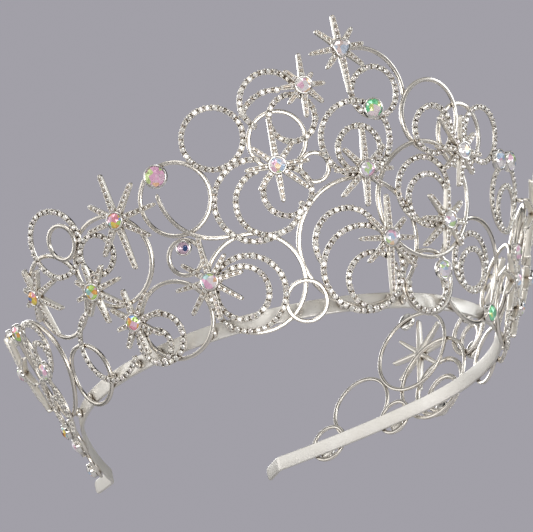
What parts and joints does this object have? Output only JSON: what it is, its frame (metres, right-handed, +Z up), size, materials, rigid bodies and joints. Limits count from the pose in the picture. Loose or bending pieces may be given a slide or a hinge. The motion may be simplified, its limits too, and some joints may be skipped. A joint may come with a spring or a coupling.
{
  "type": "crown",
  "caption": "Open-back metal crown: a springy strip carries outward-leaning openwork of rings, crescents, eight-rayed stars and round iridescent stones.",
  "frame": {"origin": "centre of the strip's front arc, level with the strip's lower edge", "axes": "+Z up, -Y towards the front, +X to the crown's left as worn"},
  "size_m": [0.177, 0.1953, 0.0836],
  "materials": {
    "strip_metal": "satin",
    "plain_wire": "polished",
    "stone_set_wire": "stone-set",
    "star_metal": "stone-set",
    "cup_metal": "polished",
    "stone_glass": "iridescent"
  },
  "bodies": {
    "root": {"strip": "strip_metal", "solder": "cup_metal", "great_ring": "plain_wire", "left_front_ring": "plain_wire", "right_low_ring": "plain_wire", "side_low_rings": "plain_wire", "left_high_ring": "plain_wire", "left_stone_ring": "plain_wire", "left_sweep_arc": "plain_wire", "temple_rings": "plain_wire", "back_rings": "plain_wire", "upper_left_ring": "plain_wire", "small_rings": "plain_wire", "peak_arc": "plain_wire", "right_peak_ring": "plain_wire", "right_high_ring": "plain_wire", "right_big_ring": "plain_wire", "right_stone_ring": "plain_wire", "arm_tall_rings": "plain_wire", "arm_low_rings": "plain_wire", "arm_rear_rings": "plain_wire", "rear_hem_rings": "plain_wire", "back_small_rings": "plain_wire", "back_crystal_rings": "stone_set_wire", "upper_left_crystal_ring": "stone_set_wire", "upper_left_crescent": "stone_set_wire", "left_crescent": "stone_set_wire", "centre_crystal_rings": "stone_set_wire", "peak_crystal_ring": "stone_set_wire", "centre_crescent": "stone_set_wire", "left_low_crescent": "stone_set_wire", "side_small_crescents": "stone_set_wire", "temple_crescents": "stone_set_wire", "right_crescent": "stone_set_wire", "right_crystal_ring": "stone_set_wire", "right_high_crystal_ring": "stone_set_wire", "right_low_crystal_arc": "stone_set_wire", "side_crystal_arcs": "stone_set_wire", "right_small_crescent": "stone_set_wire", "right_side_crescent": "stone_set_wire", "arm_high_crescents": "stone_set_wire", "arm_low_crescents": "stone_set_wire", "peak_star": "star_metal", "upper_left_star": "star_metal", "left_star": "star_metal", "centre_star": "star_metal", "centre_low_star": "star_metal", "left_low_star": "star_metal", "right_side_star": "star_metal", "temple_stars": "star_metal", "back_stars": "star_metal", "side_stars": "star_metal", "rear_stars": "star_metal", "right_high_star": "star_metal", "right_low_star": "star_metal", "arm_stars": "star_metal", "star_stones": "stone_glass", "bezel_cups": "cup_metal", "bezel_stones": "stone_glass"}
  },
  "joints": []
}
